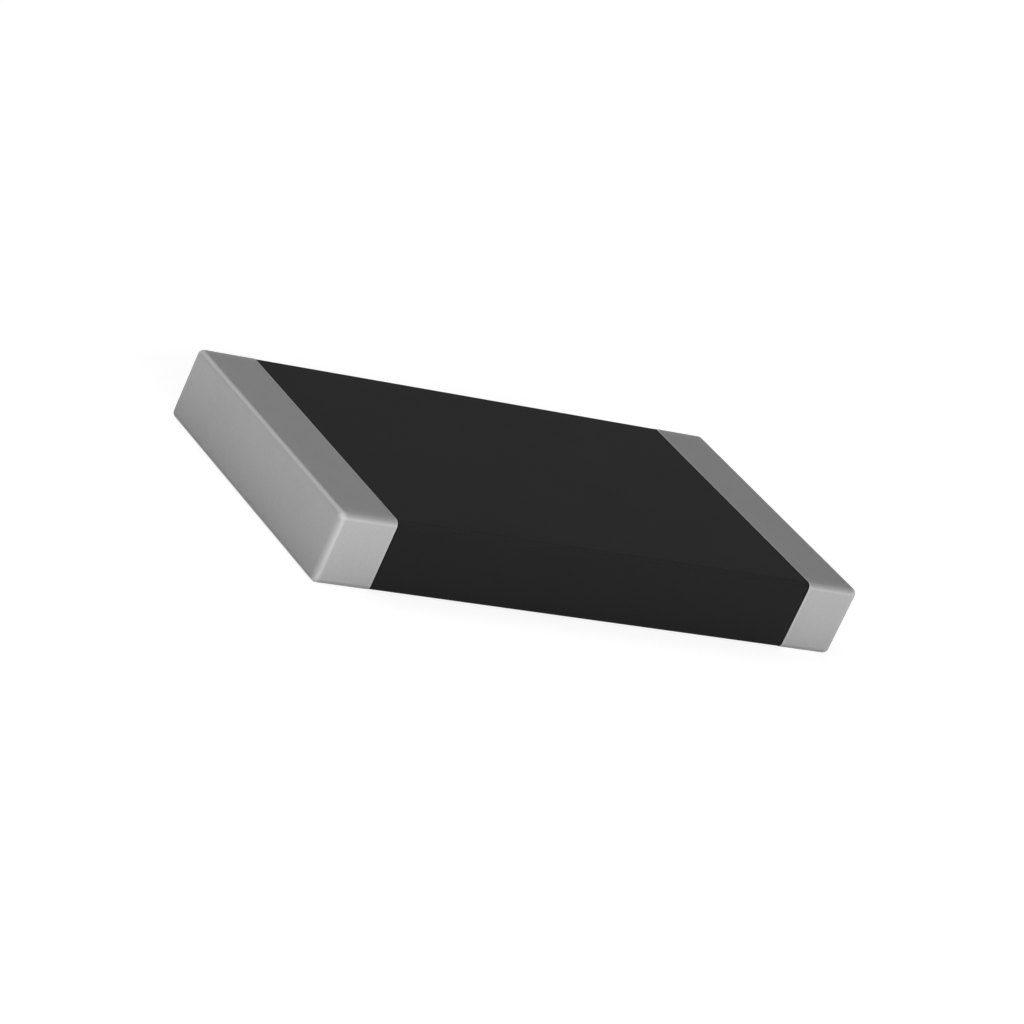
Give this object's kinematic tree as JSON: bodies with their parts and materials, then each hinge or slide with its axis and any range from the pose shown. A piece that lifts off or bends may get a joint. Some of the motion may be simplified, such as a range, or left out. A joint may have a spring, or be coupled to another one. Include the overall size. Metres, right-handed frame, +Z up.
{
  "type": "thick film resistor",
  "caption": "Thick film chip resistor: a flat ceramic block with a black protective coat and matte tin caps over its ends, soldered flat onto a board.",
  "frame": {"origin": "on the board under the middle of the chip: the centre of the underside of its bounding box", "axes": "+X along the chip towards the right cap, +Y across the chip, +Z up, away from the board"},
  "size_m": [0.005, 0.0024, 0.0006],
  "materials": {
    "alumina": "as fired, fine grained",
    "silver_palladium": "matte, screen printed and fired",
    "resistive_film": "matte, screen printed and fired",
    "glaze": "smooth glass, self-levelled",
    "black_coat": "satin black, faintly uneven",
    "fired_silver": "matte, dipped and fired",
    "nickel": "satin, electroplated",
    "matte_tin": "matte tin, electroplated, fine grained"
  },
  "bodies": {
    "root": {"ceramic_substrate": "alumina", "top_electrode_left": "silver_palladium", "top_electrode_right": "silver_palladium", "bottom_electrode_left": "silver_palladium", "bottom_electrode_right": "silver_palladium", "resistor_film": "resistive_film", "glass_coat": "glaze", "protective_coat": "black_coat", "silver_termination_left": "fired_silver", "silver_termination_right": "fired_silver", "nickel_barrier_left": "nickel", "nickel_barrier_right": "nickel", "tin_plating_left": "matte_tin", "tin_plating_right": "matte_tin"}
  },
  "joints": []
}
